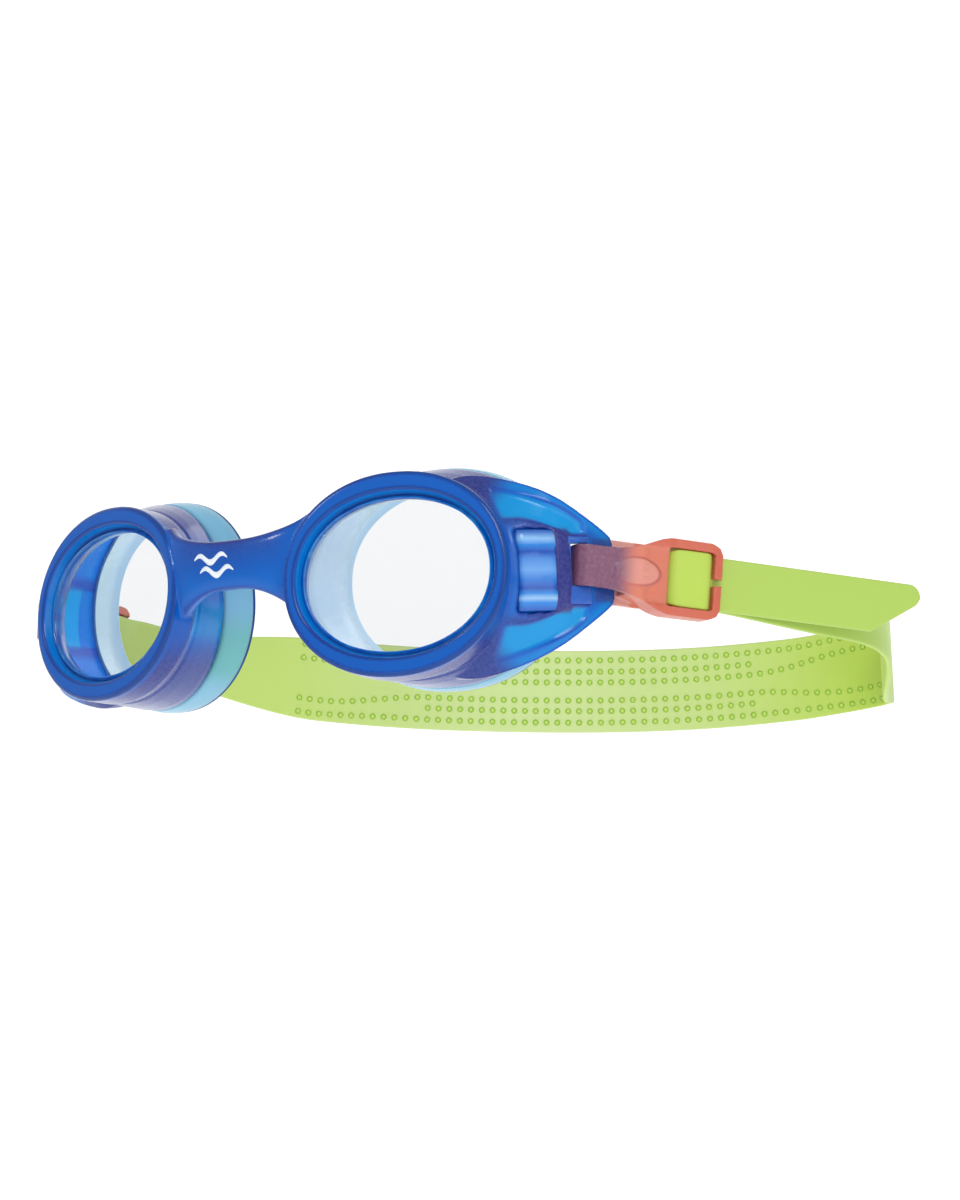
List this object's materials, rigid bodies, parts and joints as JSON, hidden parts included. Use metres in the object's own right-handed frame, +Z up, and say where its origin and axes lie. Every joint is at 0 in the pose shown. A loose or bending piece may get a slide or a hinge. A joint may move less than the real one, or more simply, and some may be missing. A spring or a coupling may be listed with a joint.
{
  "type": "swim goggles",
  "caption": "Child's swim goggles: soft one-piece frame with clear lenses, face gaskets, side clips and an adjustable silicone strap.",
  "frame": {"origin": "midway between the two gaskets, on the plane where their nose sides meet the face", "axes": "+Y from the lenses back towards the head, +Z up, +X towards the wearer's left"},
  "size_m": [0.184, 0.1656, 0.0498],
  "materials": {
    "frame_rubber": "translucent, semi-gloss",
    "lens_clear": "clear, polished",
    "gasket_rubber": "translucent, soft",
    "clip_plastic": "translucent, gloss",
    "strap_silicone": "satin"
  },
  "bodies": {
    "goggle": {"frame": "frame_rubber", "lens_left": "lens_clear", "lens_right": "lens_clear", "gasket_left": "gasket_rubber", "gasket_right": "gasket_rubber", "strap_band": "strap_silicone"},
    "left_clip": {"clip_left": "clip_plastic", "strap_end_left": "strap_silicone"},
    "right_clip": {"clip_right": "clip_plastic", "strap_end_right": "strap_silicone"},
    "left_tail": {"strap_tail_left": "strap_silicone"},
    "right_tail": {"strap_tail_right": "strap_silicone"}
  },
  "joints": [
    {"name": "left_clip_pivot", "type": "hinge", "parent": "goggle", "child": "left_clip", "pos_m": [0.06675, 0.00724, -0.0006], "axis": [0.0775, 0.1029, 0.9917], "range_deg": [-6, 9]},
    {"name": "right_clip_pivot", "type": "hinge", "parent": "goggle", "child": "right_clip", "pos_m": [-0.06675, 0.00724, -0.0006], "axis": [-0.0135, 0.1281, 0.9917], "range_deg": [-2, 12]},
    {"name": "left_strap_adjust", "type": "slide", "parent": "left_clip", "child": "left_tail", "axis": [0.5968, 0.792, -0.1288], "range_m": [0, 0.012]},
    {"name": "right_strap_adjust", "type": "slide", "parent": "right_clip", "child": "right_tail", "axis": [-0.1037, 0.9862, -0.1288], "range_m": [0, 0.012]}
  ]
}
